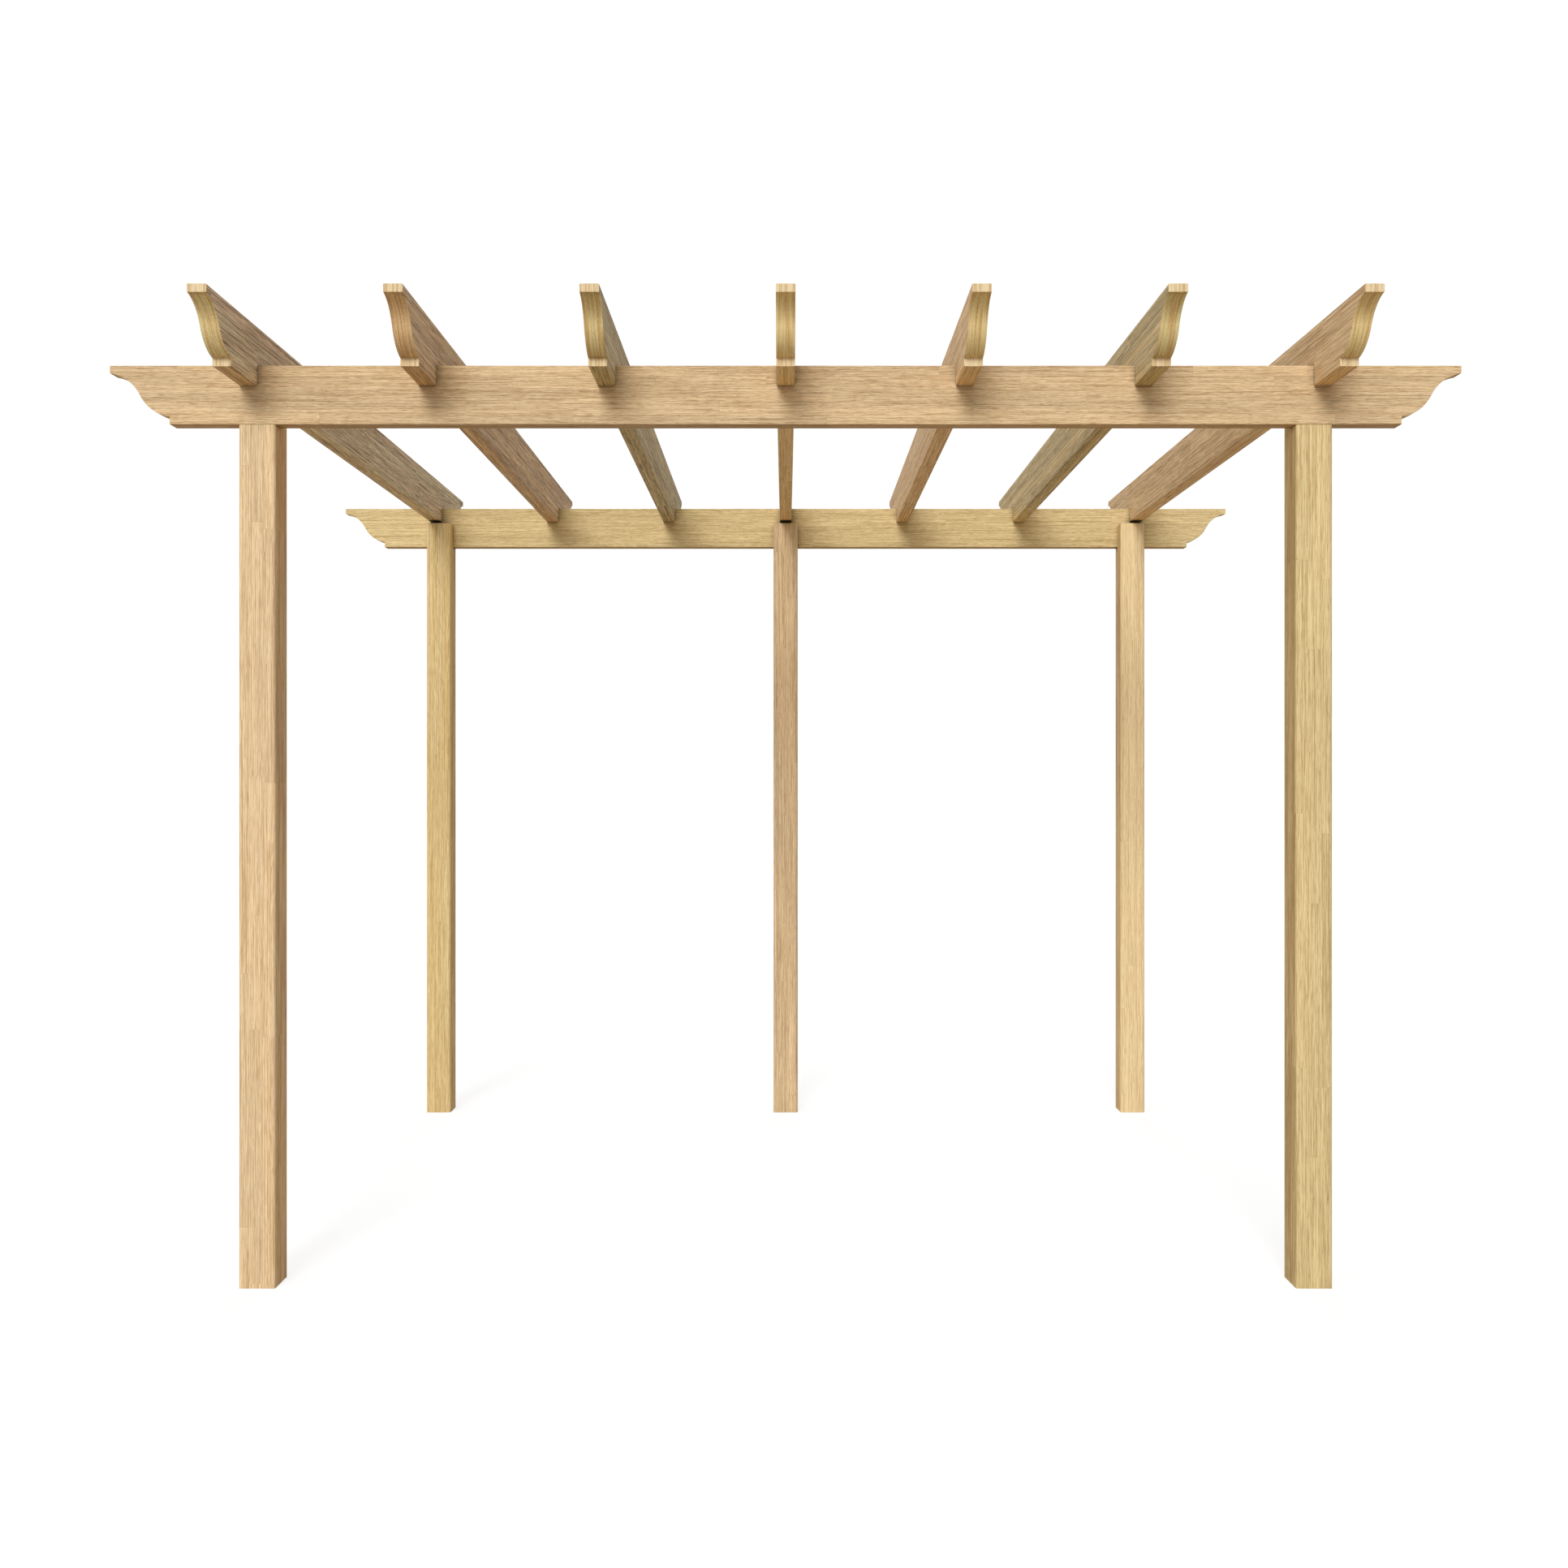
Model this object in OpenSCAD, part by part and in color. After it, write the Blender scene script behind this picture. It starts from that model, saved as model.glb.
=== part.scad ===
// Open timber pergola: two beams on five rebated posts carry a row of rafters notched over them.
// Every beam and rafter ends in the same ogee, a cove above an ovolo between two square fillets.
// Millimetres, +Z up, front towards -Y, origin on the floor under the middle of the frame.

/* [Overall] */
// Length of each beam, tip to tip
beam_len = 3300; // [2600:10:4800]
// Length of each rafter, tip to tip
rafter_len = 2600; // [1900:10:4000]
// How far a beam runs past the outer side of its end posts
beam_overhang = 314; // [200:1:600]
// How far a rafter runs past the outer face of each beam
rafter_overhang = 317; // [200:1:600]
// Clear height from the floor to the underside of the beams
headroom = 2110; // [1800:5:2700]

/* [Posts] */
// Side of the square post
post_w = 90; // [75:1:150]
// Rounding of the post's long corners
post_round = 8; // [1:0.5:15]
// Gap between the top of a post and the underside of the rafters
post_gap = 12; // [2:1:40]

/* [Beams] */
// Depth of a beam, set on edge
beam_h = 144; // [120:1:220]
// Thickness of a beam
beam_t = 44; // [30:1:60]

/* [Rafters] */
// Number of rafters
rafter_count = 7; // [3:1:11]
// Depth of a rafter, set on edge
rafter_h = 144; // [120:1:220]
// Thickness of a rafter
rafter_t = 44; // [30:1:60]
// How far the outer rafters sit in from the outer sides of the end posts
rafter_inset = 3; // [0:0.5:20]
// Depth of the notch that lets a rafter down over a beam
notch_depth = 50; // [20:1:70]
// Clearance on each side of a beam in the rafter's notch
notch_play = 0.5; // [0.2:0.1:2]

/* [Shaped ends] */
// Height of the square fillet at the tip
tip_fillet = 19; // [8:1:30]
// Height of the square fillet below the curve
foot_fillet = 19; // [8:1:30]
// Length of the curve, measured along the timber
ogee_run = 146; // [110:1:180]
// Slope of the curve where it meets each fillet, in degrees
ogee_ease = 8; // [2:1:16]

/* [Edges] */
// Rounding of the long edges of beams and rafters
edge_round = 2.5; // [0.5:0.5:6]

/* [Hidden] */
$fn = 96;

// Outside size of the rectangle of posts
frame_w = beam_len - 2 * beam_overhang;
frame_d = rafter_len - 2 * rafter_overhang;

// Heights above the floor
beam_top = headroom + beam_h;
rafter_low = beam_top - notch_depth;
post_top = rafter_low - post_gap;

// Rafters share the width evenly, with the outer two just inside the outer sides of the end posts
rafter_pitch = (frame_w - 2 * rafter_inset - rafter_t) / (rafter_count - 1);

// Places of the pieces: -1 is left or front, 1 is right or back
post_x = (frame_w - post_w) / 2;
post_y = (frame_d - post_w) / 2;
beam_y = (frame_d - beam_t) / 2;

// How far a cut runs past the face that it opens
cut = 1;
// How far the ovolo's arc laps the cove's, so that the two run into each other with no flat between
arc_lap = 0.01;

// Shades of the planed softwood
POST_COLOUR = [0.82, 0.69, 0.47];
BEAM_COLOUR = [0.84, 0.70, 0.51];
RAFTER_COLOUR = [0.76, 0.63, 0.45];

RAFTERS = [for (i = [1 : rafter_count]) str("rafter_", i)];

// Radius of the cove and of the ovolo: two equal arcs that meet halfway along the curve
function ogee_radius(rise) =
    norm([ogee_run, rise]) / (4 * sin(atan2(rise, ogee_run) - ogee_ease));

// Rectangle about the origin with rounded corners
module rounded_section(w, h, r) {
    square([w - 2 * r, h], center = true);
    square([w, h - 2 * r], center = true);
    for (x = [-1, 1], y = [-1, 1])
        translate([x * (w / 2 - r), y * (h / 2 - r)]) circle(r = r);
}

// What is sawn from under a tip at x = 0: the cove is hollowed out, and the ovolo is left standing
module ogee_waste(h) {
    start = [0, h - tip_fillet];
    end = [ogee_run, foot_fillet];
    radius = ogee_radius(start.y - end.y);
    to_centre = radius * [sin(ogee_ease), cos(ogee_ease)];
    difference() {
        union() {
            translate([-cut, -cut]) square([end.x + cut, (start.y + end.y) / 2 + cut]);
            translate(start - to_centre) circle(r = radius);
        }
        translate(end + to_centre) circle(r = radius + arc_lap);
    }
}

// Board on edge along X, centred in X and Y and standing on Z = 0, with both ends sawn to shape
module shaped_board(len, h, t) {
    difference() {
        translate([-len / 2, 0, h / 2]) rotate([90, 0, 90])
            linear_extrude(len) rounded_section(t, h, edge_round);
        for (side = [0, 1])
            mirror([side, 0, 0]) translate([-len / 2, t / 2 + cut, 0]) rotate([90, 0, 0])
                linear_extrude(t + 2 * cut) ogee_waste(h);
    }
}

// Post with a rebate on its outer side, where the beam lies flush on the shoulder
module post(x, side) {
    color(POST_COLOUR) translate([x, side * post_y, 0]) difference() {
        linear_extrude(post_top) rounded_section(post_w, post_w, post_round);
        translate([-post_w / 2 - cut, side * (post_w - beam_t) - post_w / 2, headroom])
            cube([post_w + 2 * cut, post_w, post_top]);
    }
}

module beam(side) {
    color(BEAM_COLOUR) translate([0, side * beam_y, headroom])
        shaped_board(beam_len, beam_h, beam_t);
}

// Rafter across both beams, counted from the left
module rafter(index) {
    notch_w = beam_t + 2 * notch_play;
    x = (index - (rafter_count + 1) / 2) * rafter_pitch;
    color(RAFTER_COLOUR) translate([x, 0, rafter_low]) difference() {
        rotate([0, 0, 90]) shaped_board(rafter_len, rafter_h, rafter_t);
        for (side = [-1, 1])
            translate([-rafter_t / 2 - cut, side * beam_y - notch_w / 2, -cut])
                cube([rafter_t + 2 * cut, notch_w, notch_depth + cut]);
    }
}

post(-post_x, -1);  // front_left_post
post(post_x, -1);  // front_right_post
post(-post_x, 1);  // back_left_post
post(0, 1);  // back_centre_post
post(post_x, 1);  // back_right_post
beam(-1);  // front_beam
beam(1);  // back_beam
for (i = [1 : rafter_count])
    rafter(i);
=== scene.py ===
# %% [markdown]
# # A planed softwood pergola
# The frame that is loaded here holds every timber at its real size and place: five posts, two beams
# and seven rafters. It is the drawing that this lesson works from, and nothing in it is moved or resized.
# Each timber is built again over its plain solid, with eased edges. Then come the screws that hold the
# rafters down, the wood, and the zinc of the screws.

# %% Load the frame
import math
import random

import bmesh
import bpy
from mathutils import Matrix, Vector


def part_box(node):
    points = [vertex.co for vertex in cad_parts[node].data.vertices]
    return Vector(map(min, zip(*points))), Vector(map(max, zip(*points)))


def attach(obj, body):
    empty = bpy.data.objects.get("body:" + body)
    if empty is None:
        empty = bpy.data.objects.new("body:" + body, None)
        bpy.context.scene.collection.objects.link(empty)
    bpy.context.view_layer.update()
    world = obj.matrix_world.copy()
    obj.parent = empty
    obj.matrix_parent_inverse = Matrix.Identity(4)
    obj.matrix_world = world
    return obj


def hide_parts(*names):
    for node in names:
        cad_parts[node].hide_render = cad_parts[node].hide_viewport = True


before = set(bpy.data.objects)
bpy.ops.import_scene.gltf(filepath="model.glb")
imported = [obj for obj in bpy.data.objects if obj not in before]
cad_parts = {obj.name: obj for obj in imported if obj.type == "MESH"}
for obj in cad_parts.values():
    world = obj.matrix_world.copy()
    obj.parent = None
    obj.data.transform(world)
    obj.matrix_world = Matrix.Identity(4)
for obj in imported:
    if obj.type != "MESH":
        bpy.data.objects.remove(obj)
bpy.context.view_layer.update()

print("timbers:", sorted(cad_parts))

# %% [markdown]
# ## The camera
# The picture is a level one-point view: every rafter runs towards one vanishing point, close to the
# middle of the frame. So the camera looks straight along +Y, with no tilt. Its height and distance follow
# from how the back of the pergola shrinks against the front. The vanishing point sits a few pixels off
# the middle, and a small lens shift puts it there without turning the camera.

# %% Place the camera
FRAME_PX = 1932
FOCAL_PX = 1808
VANISHING_PX = (968, 956)
SENSOR_WIDTH = 36.0
EYE_HEIGHT = 1.252
EYE_TO_FRONT = 3.582

scene = bpy.context.scene
front_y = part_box("front_beam")[0].y
lens = bpy.data.cameras.new("eye")
lens.sensor_width = SENSOR_WIDTH
lens.lens = SENSOR_WIDTH * FOCAL_PX / FRAME_PX
lens.shift_x = (FRAME_PX / 2 - VANISHING_PX[0]) / FRAME_PX
lens.shift_y = (VANISHING_PX[1] - FRAME_PX / 2) / FRAME_PX
camera = bpy.data.objects.new("eye", lens)
camera.location = (0.0, front_y - EYE_TO_FRONT, EYE_HEIGHT)
camera.rotation_euler = (math.radians(90), 0.0, 0.0)
scene.collection.objects.link(camera)
scene.camera = camera
print(f"lens {lens.lens:.2f} mm, eye at {[round(v, 3) for v in camera.location]}")

# %% [markdown]
# ## Helpers for node trees
# Worlds and materials are made of nodes. They could be added by hand in the editor, but the woods below
# take many nodes for each of 14 timbers, so they are written down. A few short helpers keep that readable:
# one adds a node and sets or links its inputs by name, and the others use it for a step of arithmetic, an
# eased range, a mix of two colours or the parts of a vector.

# %% Add nodes and sums
def link(tree, value, socket):
    """Sets a socket to a plain value, or links it to another node's output."""
    if isinstance(value, bpy.types.NodeSocket):
        tree.links.new(value, socket)
    else:
        socket.default_value = value


def add_node(tree, kind, inputs, output=0, **settings):
    """Adds a node, sets its options, fills its inputs and returns one of its outputs."""
    made = tree.nodes.new(kind)
    for name, value in settings.items():
        setattr(made, name, value)
    for name, value in inputs.items():
        link(tree, value, made.inputs[name])
    return made.outputs[output]


def sum_up(tree, operation, *values):
    """One arithmetic step on numbers or sockets."""
    return add_node(tree, "ShaderNodeMath", dict(enumerate(values)), operation=operation)


def vector_sum(tree, operation, *vectors):
    """One arithmetic step on vectors."""
    return add_node(tree, "ShaderNodeVectorMath", dict(enumerate(vectors)), operation=operation)


def ramp(tree, value, low, high, out_low=0.0, out_high=1.0):
    """Eases a value from one range into another, held at both ends."""
    inputs = {"Value": value, "From Min": low, "From Max": high, "To Min": out_low, "To Max": out_high}
    return add_node(tree, "ShaderNodeMapRange", inputs, interpolation_type="SMOOTHSTEP")


def blend(tree, share, first, second, blend_type="MIX"):
    """Mixes two colours."""
    inputs = {0: share, 6: first, 7: second}
    return add_node(tree, "ShaderNodeMix", inputs, output=2, data_type="RGBA", blend_type=blend_type)


def parts(tree, vector):
    """The three parts of a vector."""
    split = tree.nodes.new("ShaderNodeSeparateXYZ")
    link(tree, vector, split.inputs[0])
    return list(split.outputs)


print("node helpers ready")

# %% [markdown]
# ## The studio
# The pergola stands on a plain white floor in soft daylight. The key light comes from the front, a little
# from the left and about 25 degrees high, so the fronts of the timbers are bright and each rafter drops a
# soft shadow on the beam below it. A very broad side light from the left parts the two sides of the rafters.
# A back light keeps the far sides from going dull. It gives no shine, which would run along the rafters
# as a glare. The sky fills the shade. Rays that the eye sends out see a white sky and a white floor, while
# the light that the floor throws back up is kept low and warm, as the undersides of the real one are dark.

# %% Light the studio
KEY_FROM = Vector((-0.150, -0.894, 0.423))
KEY_STRENGTH = 1.80
KEY_SPREAD = math.radians(21)
SIDE_FROM = Vector((-0.75, -0.55, 0.42))
SIDE_STRENGTH = 0.50
SIDE_SPREAD = math.radians(70)
BACK_FROM = Vector((0.0, 0.93, 0.37))
BACK_STRENGTH = 0.80
BACK_SPREAD = math.radians(20)
SKY_FILL = 0.42
SKY_SEEN = 1.02
FLOOR_SIZE = 60.0
FLOOR_BOUNCE = (0.44, 0.36, 0.25, 1.0)
FLOOR_SEEN = (0.35, 0.35, 0.35, 1.0)
FLOOR_GLOW = 0.75


def soft_sun(name, direction, strength, spread):
    sun = bpy.data.objects.new(name, bpy.data.lights.new(name, "SUN"))
    sun.data.energy = strength
    sun.data.angle = spread
    sun.rotation_euler = direction.to_track_quat("Z", "Y").to_euler()
    scene.collection.objects.link(sun)
    return sun


def seen_directly(tree):
    """1 for rays that show the background: from the eye, off gloss and through glass."""
    rays = tree.nodes.new("ShaderNodeLightPath").outputs
    gloss_or_glass = sum_up(tree, "MAXIMUM", rays["Is Glossy Ray"], rays["Is Transmission Ray"])
    return sum_up(tree, "MAXIMUM", rays["Is Camera Ray"], gloss_or_glass)


def white_sky():
    world = bpy.data.worlds.new("white_sky")
    world.use_nodes = True
    tree = world.node_tree
    background = tree.nodes["Background"]
    background.inputs["Color"].default_value = (1.0, 1.0, 1.0, 1.0)
    strength = ramp(tree, seen_directly(tree), 0.0, 1.0, SKY_FILL, SKY_SEEN)
    link(tree, strength, background.inputs["Strength"])
    return world


def white_floor_finish():
    finish = bpy.data.materials.new("white_floor")
    finish.use_nodes = True
    tree = finish.node_tree
    tree.nodes.remove(tree.nodes["Principled BSDF"])
    bounce = add_node(tree, "ShaderNodeBsdfDiffuse", {"Color": FLOOR_BOUNCE})
    shaded = add_node(tree, "ShaderNodeBsdfDiffuse", {"Color": FLOOR_SEEN})
    glow = add_node(tree, "ShaderNodeEmission", {"Strength": FLOOR_GLOW})
    lit = add_node(tree, "ShaderNodeAddShader", {0: shaded, 1: glow})
    mixed = add_node(tree, "ShaderNodeMixShader", {0: seen_directly(tree), 1: bounce, 2: lit})
    link(tree, mixed, tree.nodes["Material Output"].inputs["Surface"])
    return finish


scene.view_settings.view_transform = "Standard"
scene.world = white_sky()
soft_sun("key_light", KEY_FROM, KEY_STRENGTH, KEY_SPREAD)
soft_sun("side_light", SIDE_FROM, SIDE_STRENGTH, SIDE_SPREAD)
back_light = soft_sun("back_light", BACK_FROM, BACK_STRENGTH, BACK_SPREAD)
back_light.visible_glossy = False

half = FLOOR_SIZE / 2
floor_corners = [(-half, -half, 0), (half, -half, 0), (half, half, 0), (-half, half, 0)]
floor_mesh = bpy.data.meshes.new("floor")
floor_mesh.from_pydata(floor_corners, [], [(0, 1, 2, 3)])
floor_mesh.materials.append(white_floor_finish())
floor = bpy.data.objects.new("floor", floor_mesh)
scene.collection.objects.link(floor)
print(f"key {KEY_STRENGTH}, side {SIDE_STRENGTH}, back {BACK_STRENGTH} and sky fill {SKY_FILL}")

# %% [markdown]
# ## The shaped end
# Every beam and rafter ends in an ogee: a square fillet at the tip, a hollow cove, a full ovolo and a
# second square fillet. On the real timber it is sawn round a template and sanded. It could be drawn
# as a Bezier curve, but a template is set out with compasses, so two equal arcs that run into each other
# halfway give the same line from four plain sizes.

# %% Set out the ogee
TIP_FILLET = 0.019
FOOT_FILLET = 0.019
OGEE_RUN = 0.146
OGEE_EASE = math.radians(8)
ARC_STEPS = 20


def ogee(height):
    """Points from under the tip down to the foot fillet, with the tip and the board's base at 0."""
    rise = height - TIP_FILLET - FOOT_FILLET
    slope = math.atan2(rise, OGEE_RUN)
    radius = math.hypot(OGEE_RUN, rise) / (4 * math.sin(slope - OGEE_EASE))
    to_centre = Vector((math.sin(OGEE_EASE), math.cos(OGEE_EASE))) * radius
    cove_centre = Vector((0.0, height - TIP_FILLET)) - to_centre
    ovolo_centre = Vector((OGEE_RUN, FOOT_FILLET)) + to_centre
    sweep = 2 * (slope - OGEE_EASE)
    turns = [OGEE_EASE + sweep * step / ARC_STEPS for step in range(ARC_STEPS + 1)]
    spokes = [Vector((math.sin(turn), math.cos(turn))) * radius for turn in turns]
    cove = [cove_centre + spoke for spoke in spokes]
    ovolo = [ovolo_centre - spoke for spoke in reversed(spokes[:-1])]
    return cove + ovolo


front_low, front_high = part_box("front_beam")
print("points on the beam's ogee:", len(ogee(front_high.z - front_low.z)))

# %% [markdown]
# ## From outline to timber
# A board is its side view given a thickness. So each timber starts as a closed outline, which bmesh turns
# into two flat cheeks joined by a band of faces. Planed timber never has knife edges: the planer eases
# the long edges, and sandpaper just breaks the sawn ones. A Bevel modifier does both at once, because
# every edge carries its own share of the full rounding.

# %% Make a timber from its outline
ROUNDING_STEPS = 4
SMOOTH_UNDER = math.radians(35)


def timber_mesh(name, outline, place, thickness, edge_share):
    """A mesh of an outline (along, up) given a thickness; place turns (along, up, through) into a point."""
    shape = bmesh.new()
    cheeks = []
    for through in (-thickness / 2, thickness / 2):
        cheeks.append([shape.verts.new(place(along, up, through)) for along, up in outline])
    count = len(outline)
    for i in range(count):
        j = (i + 1) % count
        shape.faces.new((cheeks[0][i], cheeks[0][j], cheeks[1][j], cheeks[1][i]))
    shape.faces.new(reversed(cheeks[0]))
    shape.faces.new(cheeks[1])
    bmesh.ops.recalc_face_normals(shape, faces=shape.faces)

    share = shape.edges.layers.float.new("bevel_weight_edge")
    spot = {vert: outline[i] for cheek in cheeks for i, vert in enumerate(cheek)}
    for edge in shape.edges:
        start, end = (spot[vert] for vert in edge.verts)
        if edge.calc_face_angle() > SMOOTH_UNDER:
            edge[share] = edge_share(start, end)
        for face in edge.link_faces:
            face.smooth = True
    mesh = bpy.data.meshes.new(name)
    shape.to_mesh(mesh)
    shape.free()
    return mesh


def add_timber(name, mesh, rounding):
    """Puts a timber in the scene, with its edges eased."""
    timber = bpy.data.objects.new(name, mesh)
    scene.collection.objects.link(timber)
    ease = timber.modifiers.new("eased edges", "BEVEL")
    ease.width = rounding
    ease.segments = ROUNDING_STEPS
    ease.limit_method = "WEIGHT"
    ease.use_clamp_overlap = True
    return timber


print("timber maker ready")

# %% [markdown]
# ## Beams and rafters
# Both are boards on edge with an ogee at each end. A rafter also has two notches that let it down over the
# beams, a hair wider than the beam is thick. The lengths, depths and places are read from the frame,
# so the dressed board lies exactly where its solid is.

# %% Build the boards
BOARD_ROUNDING = 0.0025
SAWN_SHARE = 0.4
NOTCH_DEPTH = 0.050
NOTCH_PLAY = 0.0005


def board_outline(length, height, notches):
    """Side view of a board from its middle, base at 0, with (middle, width) of each notch in its base."""
    left = [(-length / 2 + point.x, point.y) for point in ogee(height)]
    right = [(-along, up) for along, up in reversed(left)]
    foot = length / 2 - OGEE_RUN
    base = [(-foot, 0.0)]
    for middle, width in notches:
        low, high = middle - width / 2, middle + width / 2
        base += [(low, 0.0), (low, NOTCH_DEPTH), (high, NOTCH_DEPTH), (high, 0.0)]
    base.append((foot, 0.0))
    return [(-length / 2, height)] + left + base + right + [(length / 2, height)]


def board_edge_share(height):
    """Long edges take the full rounding, and sawn ones a part of it."""
    def share(start, end):
        on_top = start[1] == end[1] == height
        on_base = start[1] == end[1] == 0.0
        runs_along = start[0] != end[0]
        return 1.0 if runs_along and (on_top or on_base) else SAWN_SHARE
    return share


def build_board(name, along_axis, notches):
    low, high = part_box(name)
    size, middle = high - low, (low + high) / 2
    through_axis = 1 - along_axis

    def place(along, up, through):
        point = Vector((middle.x, middle.y, low.z + up))
        point[along_axis] += along
        point[through_axis] += through
        return point

    outline = board_outline(size[along_axis], size.z, notches)
    mesh = timber_mesh(name + "_dressed", outline, place, size[through_axis], board_edge_share(size.z))
    return add_timber(name + "_dressed", mesh, BOARD_ROUNDING)


BEAMS = ["front_beam", "back_beam"]
RAFTERS = sorted(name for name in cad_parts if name.startswith("rafter_"))
beam_boxes = [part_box(name) for name in BEAMS]
rafter_notches = [((low.y + high.y) / 2, high.y - low.y + 2 * NOTCH_PLAY) for low, high in beam_boxes]

dressed = {name: build_board(name, 0, []) for name in BEAMS}
dressed.update({name: build_board(name, 1, rafter_notches) for name in RAFTERS})
print("boards built:", len(dressed))

# %% [markdown]
# ## Posts
# A post is a square timber with generously rounded corners. Its head is rebated on the outer side: the
# beam lies on the shoulder, flush with the face of the post, and a cheek rises behind it. Seen from the
# side the post is an L-shaped outline, so the same maker builds it, with the full rounding on the four
# corners only.

# %% Build the posts
POST_ROUNDING = 0.008
POST_SAWN_SHARE = 0.15


def post_outline(depth, height, shoulder, rebate):
    """Side view of a post whose rebate is on the low side, measured from its middle."""
    return [(-depth / 2, 0.0), (depth / 2, 0.0), (depth / 2, height), (rebate - depth / 2, height),
            (rebate - depth / 2, shoulder), (-depth / 2, shoulder)]


def post_edge_share(depth):
    """The upright corners take the full rounding, and sawn edges a small part of it."""
    def share(start, end):
        is_corner = start[0] == end[0] and abs(start[0]) == depth / 2 and start[1] != end[1]
        return 1.0 if is_corner else POST_SAWN_SHARE
    return share


def build_post(name):
    low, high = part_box(name)
    size, middle = high - low, (low + high) / 2
    beam_low, beam_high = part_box("back_beam" if middle.y > 0 else "front_beam")
    side = 1 if middle.y > 0 else -1

    def place(along, up, through):
        return Vector((middle.x + through, middle.y - side * along, up))

    outline = post_outline(size.y, size.z, beam_low.z, beam_high.y - beam_low.y)
    mesh = timber_mesh(name + "_dressed", outline, place, size.x, post_edge_share(size.y))
    return add_timber(name + "_dressed", mesh, POST_ROUNDING)


POSTS = sorted(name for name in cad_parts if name.endswith("_post"))
dressed.update({name: build_post(name) for name in POSTS})
print("posts built:", len(POSTS))

# %% [markdown]
# ## Bores for the screws
# A long screw holds each rafter down on each beam. The carpenter first bores a shallow round seat, so
# that the head lies below the top of the rafter, where nothing catches on it. A Boolean modifier makes
# the same cut. It is applied at once, because the cutter is only a tool and has no place on the finished
# pergola. A Weighted Normal modifier then keeps the broad faces of every timber flat right up to the
# rounding, and the rims of the bores are marked sharp for it.

# %% Bore the rafters
BORE_WIDTH = 0.016
BORE_DEPTH = 0.007
ROUND_STEPS = 24
FACE_WEIGHT = 100


def make_cutter(spots):
    """Upright cylinders that reach down into the wood by the depth of the bore."""
    shape = bmesh.new()
    for spot in spots:
        bmesh.ops.create_cone(shape, cap_ends=True, segments=ROUND_STEPS, radius1=BORE_WIDTH / 2,
                              radius2=BORE_WIDTH / 2, depth=2 * BORE_DEPTH, matrix=Matrix.Translation(spot))
    mesh = bpy.data.meshes.new("cutter")
    shape.to_mesh(mesh)
    shape.free()
    cutter = bpy.data.objects.new("cutter", mesh)
    scene.collection.objects.link(cutter)
    return cutter


def bore(timber, spots):
    """Cuts a shallow round seat at each spot, once the timber's edges are eased."""
    cutter = make_cutter(spots)
    cut = timber.modifiers.new("bores", "BOOLEAN")
    cut.operation = "DIFFERENCE"
    cut.solver = "EXACT"
    cut.object = cutter
    ready = timber.evaluated_get(bpy.context.evaluated_depsgraph_get())
    timber.data = bpy.data.meshes.new_from_object(ready)
    timber.modifiers.clear()
    bpy.data.objects.remove(cutter)


def keep_flat(timber):
    """Marks the sharp rims and holds the broad faces flat."""
    shape = bmesh.new()
    shape.from_mesh(timber.data)
    for edge in shape.edges:
        edge.smooth = edge.calc_face_angle() < SMOOTH_UNDER
    shape.to_mesh(timber.data)
    shape.free()
    flat = timber.modifiers.new("flat faces", "WEIGHTED_NORMAL")
    flat.weight = FACE_WEIGHT
    flat.keep_sharp = True


screw_spots = {}
for name in RAFTERS:
    low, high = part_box(name)
    spots = [Vector(((low.x + high.x) / 2, middle, high.z)) for middle, _ in rafter_notches]
    bore(dressed[name], spots)
    keep_flat(dressed[name])
    screw_spots[name + "_front_screw"], screw_spots[name + "_back_screw"] = spots
for name in BEAMS + POSTS:
    keep_flat(dressed[name])
for name, timber in dressed.items():
    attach(timber, "root")
    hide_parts(name)
print("bores cut:", len(screw_spots))

# %% [markdown]
# ## Screw heads
# Only the head of a screw shows. It is a low dome with a hexagon socket for the driver. A head is turned
# on a lathe, so it is built in the same way: a list of rings, each with a radius and a height, is joined up
# from the rim to the bottom of the socket. The last two rings are pulled out to a hexagon. Every head is
# left at another angle, as a driver leaves it.

# %% Make the screw heads
HEAD_RADIUS = 0.0068
HEAD_HEIGHT = 0.0042
DOME_SHARES = ((1.0, 0.0), (1.0, 0.45), (0.94, 0.70), (0.80, 0.90), (0.66, 1.0))
SOCKET_REACH = 0.0030
SOCKET_DEPTH = 0.0025
SEAT_GAP = 0.0001


def hexagon_reach(turn):
    """How far a hexagon reaches in a direction, for a flat-to-middle distance of 1."""
    sixth = math.radians(60)
    return 1 / math.cos(turn % sixth - sixth / 2)


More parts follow.
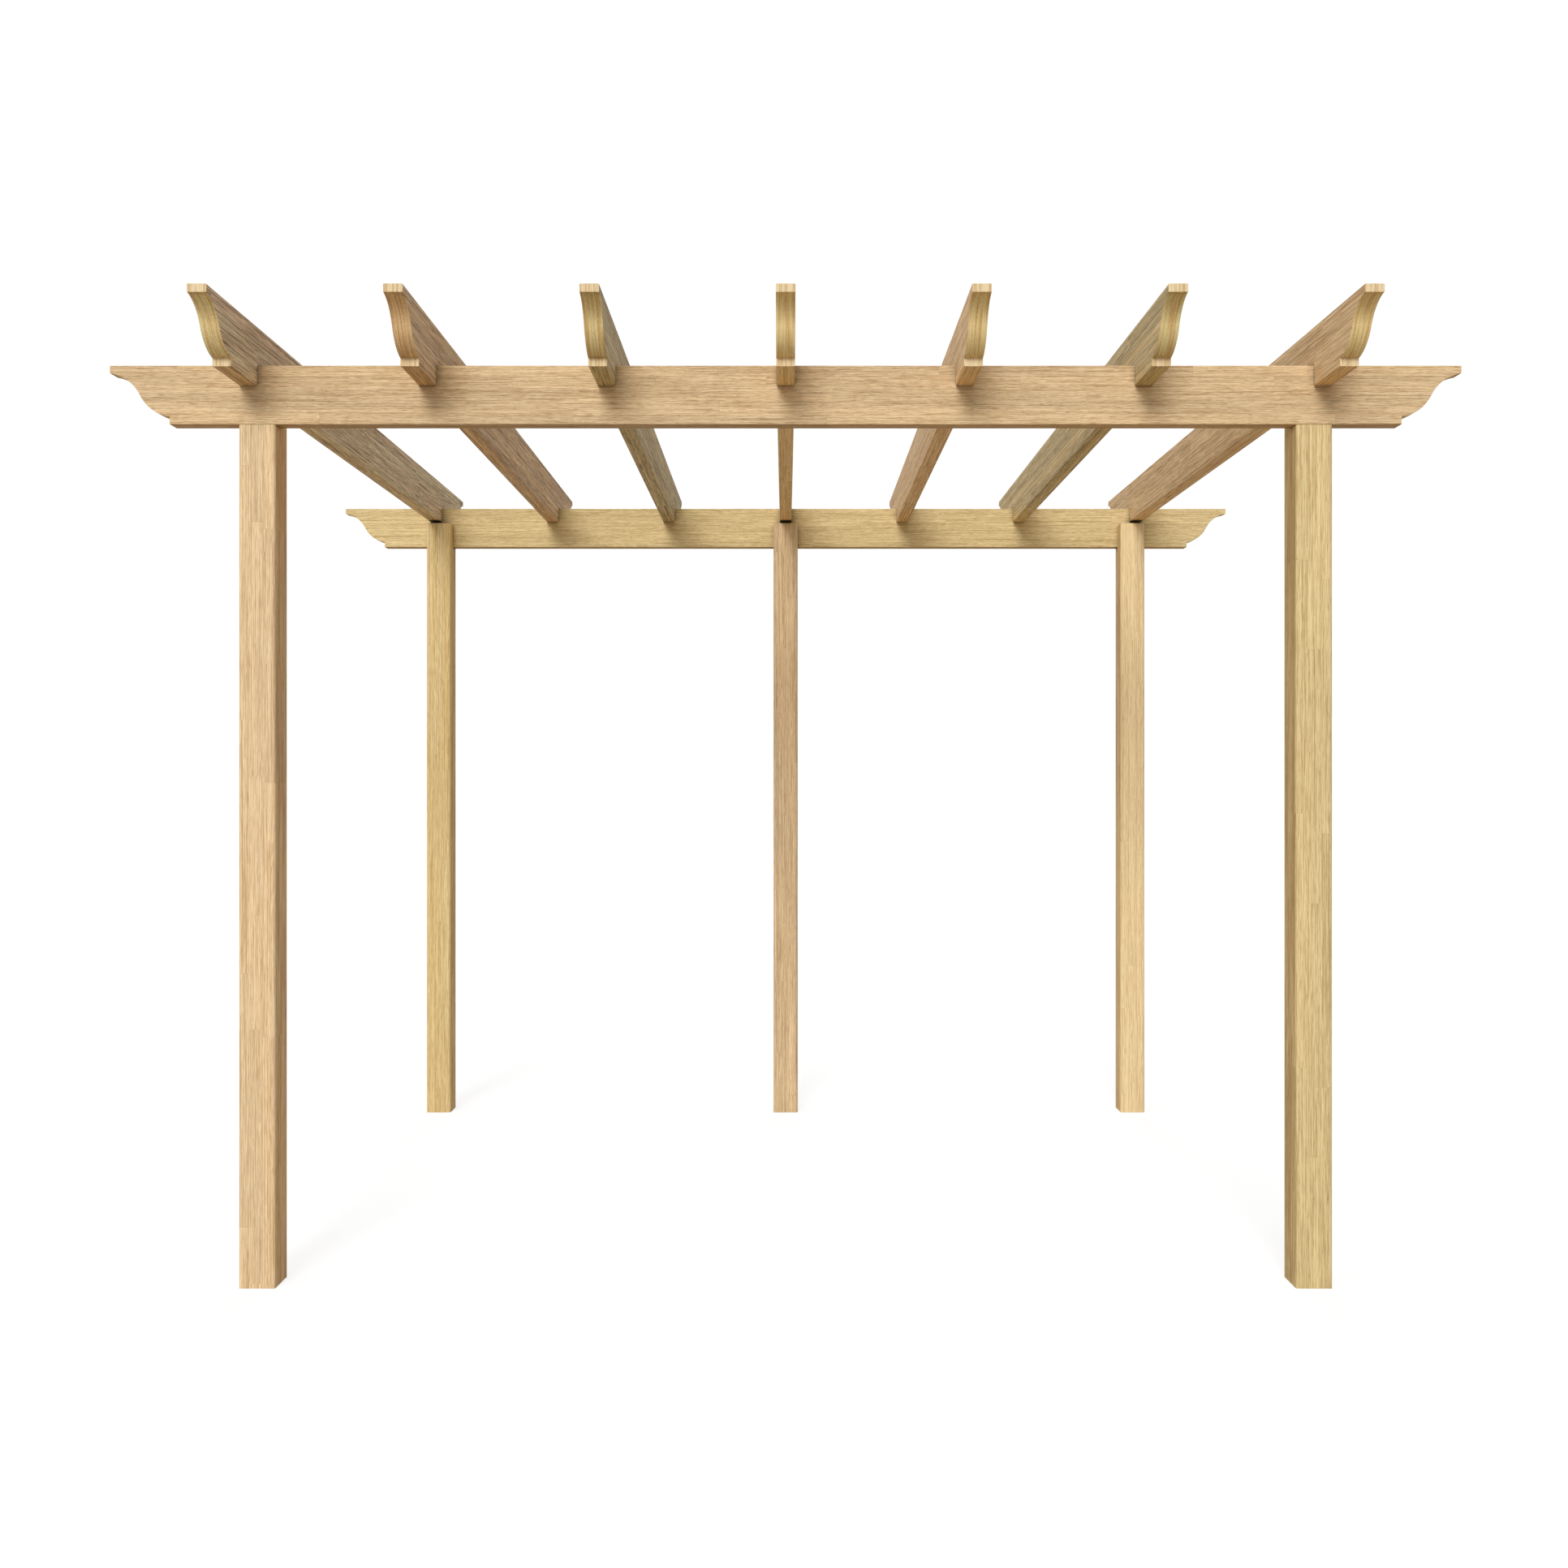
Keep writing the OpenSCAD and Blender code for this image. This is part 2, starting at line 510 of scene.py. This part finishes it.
def screw_head_mesh():
    """A domed head about the middle of its seat."""
    rings = [(out * HEAD_RADIUS, up * HEAD_HEIGHT, False) for out, up in DOME_SHARES]
    rings.append((SOCKET_REACH, HEAD_HEIGHT, True))
    rings.append((SOCKET_REACH, HEAD_HEIGHT - SOCKET_DEPTH, True))
    shape = bmesh.new()
    turns = [math.tau * step / ROUND_STEPS for step in range(ROUND_STEPS)]
    loops = []
    for radius, height, is_hexagon in rings:
        reach = [radius * (hexagon_reach(turn) if is_hexagon else 1.0) for turn in turns]
        loops.append([shape.verts.new((r * math.cos(turn), r * math.sin(turn), height))
                      for r, turn in zip(reach, turns)])
    for lower, upper in zip(loops, loops[1:]):
        for i in range(ROUND_STEPS):
            j = (i + 1) % ROUND_STEPS
            shape.faces.new((lower[i], lower[j], upper[j], upper[i]))
    shape.faces.new(reversed(loops[0]))
    bottom = shape.verts.new((0.0, 0.0, HEAD_HEIGHT - SOCKET_DEPTH))
    for i in range(ROUND_STEPS):
        shape.faces.new((loops[-1][i], loops[-1][(i + 1) % ROUND_STEPS], bottom))
    for face in shape.faces:
        face.smooth = True
    for edge in shape.edges:
        edge.smooth = edge.calc_face_angle() < SMOOTH_UNDER
    mesh = bpy.data.meshes.new("screw_head")
    shape.to_mesh(mesh)
    shape.free()
    return mesh


head_mesh = screw_head_mesh()
screws = []
for name, spot in screw_spots.items():
    screw = bpy.data.objects.new(name, head_mesh)
    screw.location = spot - Vector((0.0, 0.0, BORE_DEPTH - SEAT_GAP))
    screw.rotation_euler.z = len(screws)
    scene.collection.objects.link(screw)
    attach(screw, "root")
    screws.append(screw)
print("screws set:", len(screws))

# %% [markdown]
# ## Coordinates that follow the grain
# All the wood below is drawn with three-dimensional noise, so that a mark on one face carries on round the
# corner, as it does in a solid timber. An image could not do that. The noise is read in the timber's own
# terms: metres along the grain, across it and through it. Each mark is given by its length and its width,
# and a seed moves every timber to a different part of the noise, so that no two are alike.

# %% Read places along the grain
NOISE_DETAIL = 2.0


def grain_place(tree, middle, axes):
    """Metres from a timber's middle, in the order along, across and through."""
    place = tree.nodes.new("ShaderNodeTexCoord").outputs["Object"]
    centred = parts(tree, vector_sum(tree, "SUBTRACT", place, middle))
    return add_node(tree, "ShaderNodeCombineXYZ", {i: centred[axis] for i, axis in enumerate(axes)})


def stretched_noise(tree, place, per_metre):
    """Noise with about this many marks in a metre along, across and through."""
    inputs = {"Vector": vector_sum(tree, "MULTIPLY", place, per_metre), "Scale": 1.0, "Detail": NOISE_DETAIL}
    return add_node(tree, "ShaderNodeTexNoise", inputs)


def grain_noise(tree, place, length, width):
    """Noise whose marks are drawn out along the grain to about this length and width in metres."""
    return stretched_noise(tree, place, (1 / length, 1 / width, 1 / width))


print("grain coordinates ready")

# %% [markdown]
# ## Grain
# Planed timber shows a pale ground with darker fibres. From the broadest to the finest there are soft bands
# and long thin lines from the yearly growth, streaks, short fibres, dark flecks and hair-thin pores, with
# pale dashes in between. Each is one stretched noise with a weight of its own, so any of them can be made
# stronger alone. The place is first pushed a little to the side here and there, because no fibre is
# perfectly straight.

# %% Draw the grain
# Length and width of the marks in metres, where the noise begins and ends to show, and its darkness
GRAIN_LAYERS = {
    "bands": (0.60, 0.0070, 0.36, 0.66, 0.15),
    "lines": (0.50, 0.0020, 0.46, 0.62, 0.24),
    "streaks": (0.09, 0.0020, 0.44, 0.66, 0.50),
    "fibres": (0.016, 0.0013, 0.38, 0.66, 0.40),
    "flecks": (0.016, 0.0020, 0.60, 0.70, 0.54),
    "pores": (0.009, 0.0005, 0.52, 0.66, 0.20),
    "dashes": (0.022, 0.0022, 0.56, 0.68, -0.36),
}
GROUND_DARKNESS = -0.045
MIDDLE_DARKNESS = 0.45
WANDER_SCALE = 6.0
WANDER_REACH = (0.0, 0.002, 0.002)


def wander(tree, place, seed):
    """The seeded place, pushed up to two millimetres sideways here and there."""
    seeded = vector_sum(tree, "ADD", place, seed)
    inputs = {"Vector": seeded, "Scale": WANDER_SCALE, "Detail": 1.0}
    push = add_node(tree, "ShaderNodeTexNoise", inputs, output="Color")
    return vector_sum(tree, "MULTIPLY_ADD", push, WANDER_REACH, seeded)


def grain(tree, flowing, stretch, contrast):
    """Darkness of the wood, with all marks drawn out by stretch and made stronger by contrast."""
    place = vector_sum(tree, "MULTIPLY", flowing, (1 / stretch, 1.0, 1.0))
    total = GROUND_DARKNESS
    for length, width, low, high, weight in GRAIN_LAYERS.values():
        layer = ramp(tree, grain_noise(tree, place, length, width), low, high)
        total = sum_up(tree, "MULTIPLY_ADD", layer, weight, total)
    evened = sum_up(tree, "MULTIPLY_ADD", total, contrast, (1 - contrast) * MIDDLE_DARKNESS)
    return sum_up(tree, "MAXIMUM", evened, 0.0)


print("layers of grain:", ", ".join(GRAIN_LAYERS))

# %% [markdown]
# ## Staves
# Timbers like these are glued up from strips about as wide as a thumb, and each strip is a row of staves
# set end to end. So a careful eye finds small blocks that differ in tone, and the fibres break off where
# one block meets the next. Counting in strips and staves instead of metres makes this easy: the whole
# parts of the two counts tell which stave a spot belongs to, and white noise turns them into a tone and into
# a fresh piece of grain. What is left over tells how near the spot is to a glued joint.

# %% Tell the staves apart
STRIP_WIDTH = 0.030
STAVE_LENGTH = 0.62
GLUE_WIDTH = 0.0009


def stave_counts(tree, place, seed):
    """The place counted in staves along the timber and in strips across it; every strip starts elsewhere."""
    along, across, _ = parts(tree, place)
    strips = sum_up(tree, "MULTIPLY_ADD", across, 1 / STRIP_WIDTH, 0.5)
    whole_strip = sum_up(tree, "FLOOR", strips)
    strip = add_node(tree, "ShaderNodeCombineXYZ", {0: whole_strip, 1: seed[0], 2: seed[1]})
    start = add_node(tree, "ShaderNodeTexWhiteNoise", {"Vector": strip}, noise_dimensions="3D")
    staves = sum_up(tree, "MULTIPLY_ADD", along, 1 / STAVE_LENGTH, start)
    return staves, strips


def stave_chance(tree, counts, seed):
    """A chance number from 0 to 1 and a chance vector, the same all over one stave."""
    whole = [sum_up(tree, "FLOOR", count) for count in counts]
    stave = add_node(tree, "ShaderNodeCombineXYZ", {0: whole[0], 1: whole[1], 2: seed[2]})
    made = tree.nodes.new("ShaderNodeTexWhiteNoise")
    made.noise_dimensions = "3D"
    link(tree, stave, made.inputs["Vector"])
    return made.outputs["Value"], made.outputs["Color"]


def glue_line(tree, counts):
    """1 on the joint between two staves."""
    gaps = [sum_up(tree, "MULTIPLY", sum_up(tree, "PINGPONG", count, 0.5), size)
            for count, size in zip(counts, (STAVE_LENGTH, STRIP_WIDTH))]
    return ramp(tree, sum_up(tree, "MINIMUM", *gaps), 0.0, GLUE_WIDTH, 1.0, 0.0)


print("a stave is", STAVE_LENGTH, "m long and", STRIP_WIDTH, "m wide")

# %% [markdown]
# ## Cut ends
# Where a saw crosses the fibres, they show end on. The square fillets are cut straight across and stay
# pale, with fine upright stripes where the yearly rings meet the face. The slopes of the ogee cut
# the fibres at a slant and look golden. How squarely a face crosses the grain is read from its normal.

# %% Find and draw the cut ends
STRIPES_PER_METRE = (7.0, 7.0, 260.0)
STRIPE_RANGE = (0.40, 0.66)


def crossing(tree, axis):
    """How squarely the face crosses an axis: 0 along it, 1 straight across it."""
    normal = tree.nodes.new("ShaderNodeNewGeometry").outputs["Normal"]
    return sum_up(tree, "ABSOLUTE", parts(tree, normal)[axis])


def end_grain(tree, place):
    """Darkness of a cut end from 0 to 1: upright stripes across the thickness."""
    return ramp(tree, stretched_noise(tree, place, STRIPES_PER_METRE), *STRIPE_RANGE)


print("cut ends ready")

# %% [markdown]
# ## Painted shade in the joints
# Shade is painted into the wood where timbers almost touch, so the narrow slots above the posts and the
# corners of the notches are nearly black. Ambient occlusion measures how closed in a spot is. Only the
# tightest spots are darkened, so an open corner keeps its colour, and no shade is painted on the feet,
# where they stand on the studio floor.

# %% Paint shade into the joints
# Painted shade in the joints: reach and samples of ambient occlusion, how closed a spot must be, the light
# left there, and the heights over the floor where no shade is painted
JOINT_REACH = 0.04
JOINT_SAMPLES = 8
JOINT_OPENNESS = (0.05, 0.80)
JOINT_LIGHT = (0.06, 1.0)
UNSHADED_FEET = (0.10, 0.30)


def painted_joint_shade(tree):
    """Painted shade: 1 in the open, falling towards 0 deep inside a narrow joint."""
    openness = add_node(tree, "ShaderNodeAmbientOcclusion", {"Distance": JOINT_REACH}, output="AO",
                        samples=JOINT_SAMPLES)
    darkened = ramp(tree, openness, *JOINT_OPENNESS, *JOINT_LIGHT)
    spot = tree.nodes.new("ShaderNodeNewGeometry").outputs["Position"]
    near_floor = ramp(tree, parts(tree, spot)[2], *UNSHADED_FEET, 1.0, 0.0)
    return sum_up(tree, "MAXIMUM", darkened, near_floor)


print("joint darkness ready")

# %% [markdown]
# ## Shades
# A shade is a pair: the pale ground of the wood and its dark fibres. No two timbers come from the same tree,
# so some lean to rose, some to straw and some to olive. Each timber has a shade of its own and a second one
# that it leans to in places. The colours are written as they look on a screen, from 0 to 255, and turned
# into the linear values that Blender works with.

# %% Choose the shades
SHADES = {
    "rose": ((221, 195, 156), (170, 139, 103)),
    "oat": ((232, 205, 163), (175, 143, 105)),
    "wheat": ((245, 216, 172), (189, 154, 111)),
    "flax": ((242, 220, 168), (192, 162, 110)),
    "honey": ((248, 220, 176), (198, 162, 117)),
    "blush": ((245, 219, 178), (196, 162, 120)),
    "cream": ((255, 232, 184), (220, 186, 136)),
    "chalk": ((255, 238, 197), (144, 122, 92)),
    "straw": ((232, 211, 158), (178, 153, 102)),
    "gold": ((246, 219, 156), (197, 162, 102)),
    "olive": ((226, 206, 160), (132, 115, 80)),
    "moss": ((220, 203, 163), (126, 111, 82)),
    "amber": ((255, 222, 172), (172, 129, 90)),
    "russet": ((250, 220, 183), (144, 115, 89)),
    "ash": ((226, 197, 160), (146, 114, 88)),
}
TIMBER_SHADE = {
    "front_beam": ("oat", "wheat"),
    "back_beam": ("flax", "straw"),
    "front_left_post": ("blush", "honey"),
    "front_right_post": ("straw", "flax"),
    "back_left_post": ("gold", "flax"),
    "back_centre_post": ("honey", "rose"),
    "back_right_post": ("cream", "cream"),
    "rafter_1": ("chalk", "russet"),
    "rafter_2": ("amber", "ash"),
    "rafter_3": ("moss", "olive"),
    "rafter_4": ("cream", "honey"),
    "rafter_5": ("amber", "honey"),
    "rafter_6": ("olive", "flax"),
    "rafter_7": ("amber", "honey"),
}
END_SHADE = ((240, 218, 178), (213, 183, 135))
SLOPE_SHADE = ((255, 240, 176), (226, 178, 108))
BROWN_SLOPE_SHADE = ((243, 212, 162), (206, 152, 98))
BROWN_SLOPES = ("rafter_2",)
# Narrow faces: a golden tint where the strips lie the other way; the darker beam tint is painted shade for
# the beams' undersides
EDGE_TINT_AND_SHADE = {"post": (254, 248, 236), "beam": (222, 206, 176), "rafter": (255, 246, 226)}
GLUE_TINT = (236, 228, 220)


def from_screen(red, green, blue):
    """Linear colour of a screen colour given from 0 to 255."""
    def linear(value):
        value /= 255
        return value / 12.92 if value <= 0.04045 else ((value + 0.055) / 1.055) ** 2.4
    return linear(red), linear(green), linear(blue), 1.0


def shade(tree, darkness, pair):
    """A colour between a pair's pale and dark screen colours."""
    return blend(tree, darkness, from_screen(*pair[0]), from_screen(*pair[1]))


print("shades:", ", ".join(SHADES))

# %% [markdown]
# ## The wood
# Here the layers come together. The grain of each stave runs between the pale and the dark of the timber's
# two shades, and the stave's tone and a slow drift decide which of the two it leans to. The narrow
# edges are a little more golden, because the strips lie the other way there, and on the beams they are
# also darkened: painted shade for their undersides. The glued joints are a touch darker. Over this go the
# slopes, the cut ends and the painted shade of the joints. The same grain drives the bump and the
# roughness, because the dark fibres stand a little proud and shine less.

# %% Mix the wood
GRAIN_AXES = {"post": (2, 0, 1), "beam": (0, 2, 1), "rafter": (1, 2, 0)}
GRAIN_STRETCH = {"post": 2.6, "beam": 1.4, "rafter": 5.0}
GRAIN_CONTRAST = {"post": 1.06, "beam": 1.02, "rafter": 1.32}
FRESH_GRAIN = (3.0, 3.0, 3.0)
STAVE_LEAN = 0.35
STAVE_LIGHT = (0.97, 1.03)
DRIFT_SIZE = (0.90, 0.022)
DRIFT_RANGE = (0.34, 0.66)
PATCH_SIZE = (0.35, 0.03)
PATCH_RANGE = (0.42, 0.60)
EDGE_FACING = (0.80, 0.95)
SLOPE_FACING = (0.10, 0.40)
END_FACING = (0.92, 0.97)
SLOPE_OWN_SHARE = 0.30
ROUGHNESS = (0.58, 0.78)
SHINE = 0.25
BUMP_STRENGTH = 0.35
BUMP_DEPTH = 0.0008


def stave_colour(tree, name, darkness, tone, wavy):
    """The timber's two shades, mixed by the tone of the stave and a slow drift."""
    own, other = (shade(tree, darkness, SHADES[key]) for key in TIMBER_SHADE[name])
    drift = ramp(tree, grain_noise(tree, wavy, *DRIFT_SIZE), *DRIFT_RANGE)
    drifted = sum_up(tree, "MULTIPLY", drift, 1 - STAVE_LEAN)
    lean = sum_up(tree, "MULTIPLY_ADD", tone, STAVE_LEAN, drifted)
    light = ramp(tree, tone, 0.0, 1.0, *STAVE_LIGHT)
    return own, blend(tree, 1.0, blend(tree, lean, own, other), light, "MULTIPLY")


def cut_colour(tree, name, long_grain, own, wavy, cut_facing):
    """The colour with golden slopes and pale square ends laid over the long grain."""
    stripes = end_grain(tree, wavy)
    slope_shade = BROWN_SLOPE_SHADE if name in BROWN_SLOPES else SLOPE_SHADE
    slope = blend(tree, SLOPE_OWN_SHARE, shade(tree, stripes, slope_shade), own)
    sloped = blend(tree, ramp(tree, cut_facing, *SLOPE_FACING), long_grain, slope)
    return blend(tree, ramp(tree, cut_facing, *END_FACING), sloped, shade(tree, stripes, END_SHADE))


def make_wood(name, kind, middle, seed):
    wood = bpy.data.materials.new(name + "_wood")
    wood.use_nodes = True
    tree = wood.node_tree
    shader = tree.nodes["Principled BSDF"]
    axes = GRAIN_AXES[kind]
    place = grain_place(tree, middle, axes)
    wavy = wander(tree, place, seed)
    counts = stave_counts(tree, place, seed)
    tone, shift = stave_chance(tree, counts, seed)
    fresh = vector_sum(tree, "MULTIPLY_ADD", shift, FRESH_GRAIN, wavy)
    darkness = grain(tree, fresh, GRAIN_STRETCH[kind], GRAIN_CONTRAST[kind])

    own, toned = stave_colour(tree, name, darkness, tone, wavy)
    on_edge = ramp(tree, crossing(tree, axes[1]), *EDGE_FACING)
    # Golden tint on the narrow faces, and on the beams painted shade that darkens them
    edged = blend(tree, on_edge, toned, from_screen(*EDGE_TINT_AND_SHADE[kind]), "MULTIPLY")
    patchy = ramp(tree, grain_noise(tree, wavy, *PATCH_SIZE), *PATCH_RANGE)
    glued = sum_up(tree, "MULTIPLY", glue_line(tree, counts), patchy)
    long_grain = blend(tree, glued, edged, from_screen(*GLUE_TINT), "MULTIPLY")
    colour = cut_colour(tree, name, long_grain, own, wavy, crossing(tree, axes[0]))
    # Painted shade: the base colour is darkened by ambient occlusion in narrow joints
    shade_painted = blend(tree, 1.0, colour, painted_joint_shade(tree), "MULTIPLY")

    link(tree, shade_painted, shader.inputs["Base Color"])
    link(tree, ramp(tree, darkness, 0.0, 1.0, *ROUGHNESS), shader.inputs["Roughness"])
    shader.inputs["Specular IOR Level"].default_value = SHINE
    bump = {"Strength": BUMP_STRENGTH, "Distance": BUMP_DEPTH, "Height": darkness}
    link(tree, add_node(tree, "ShaderNodeBump", bump), shader.inputs["Normal"])
    return wood


print("wood mixed for:", ", ".join(GRAIN_AXES))

# %% [markdown]
# ## Wood on every timber
# Each timber gets a wood of its own, with its grain along its own length. The seeds are drawn in a fixed
# order from one starting number, so every run gives the same boards.

# %% Dress the timbers
FIRST_SEED = 7
SEED_REACH = 20

chance = random.Random(FIRST_SEED)
for name, timber in dressed.items():
    low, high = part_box(name)
    kind = next(word for word in GRAIN_AXES if word in name)
    seed = [chance.randint(-SEED_REACH, SEED_REACH) for _ in range(3)]
    timber.data.materials.append(make_wood(name, kind, (low + high) / 2, seed))
print("timbers in wood:", len(dressed))

# %% [markdown]
# ## Zinc
# The screws are zinc plated, with the faint yellowish bloom that the coating gets outdoors. Plain metal
# would look like a mirror, so a fine noise breaks up both its colour and its shine.

# %% Finish the screws
ZINC_BRIGHT = from_screen(206, 203, 192)
ZINC_DULL = from_screen(182, 176, 158)
ZINC_GRAIN = 2500.0
BLOOM_DETAIL = 3.0
BLOOM_RANGE = (0.40, 0.65)
ZINC_ROUGHNESS = (0.34, 0.55)


def make_zinc():
    zinc = bpy.data.materials.new("zinc")
    zinc.use_nodes = True
    tree = zinc.node_tree
    shader = tree.nodes["Principled BSDF"]
    place = tree.nodes.new("ShaderNodeTexCoord").outputs["Object"]
    inputs = {"Vector": place, "Scale": ZINC_GRAIN, "Detail": BLOOM_DETAIL}
    bloom = ramp(tree, add_node(tree, "ShaderNodeTexNoise", inputs), *BLOOM_RANGE)
    link(tree, blend(tree, bloom, ZINC_BRIGHT, ZINC_DULL), shader.inputs["Base Color"])
    link(tree, ramp(tree, bloom, 0.0, 1.0, *ZINC_ROUGHNESS), shader.inputs["Roughness"])
    shader.inputs["Metallic"].default_value = 1.0
    return zinc


head_mesh.materials.append(make_zinc())
print("screws in zinc:", len(screws))
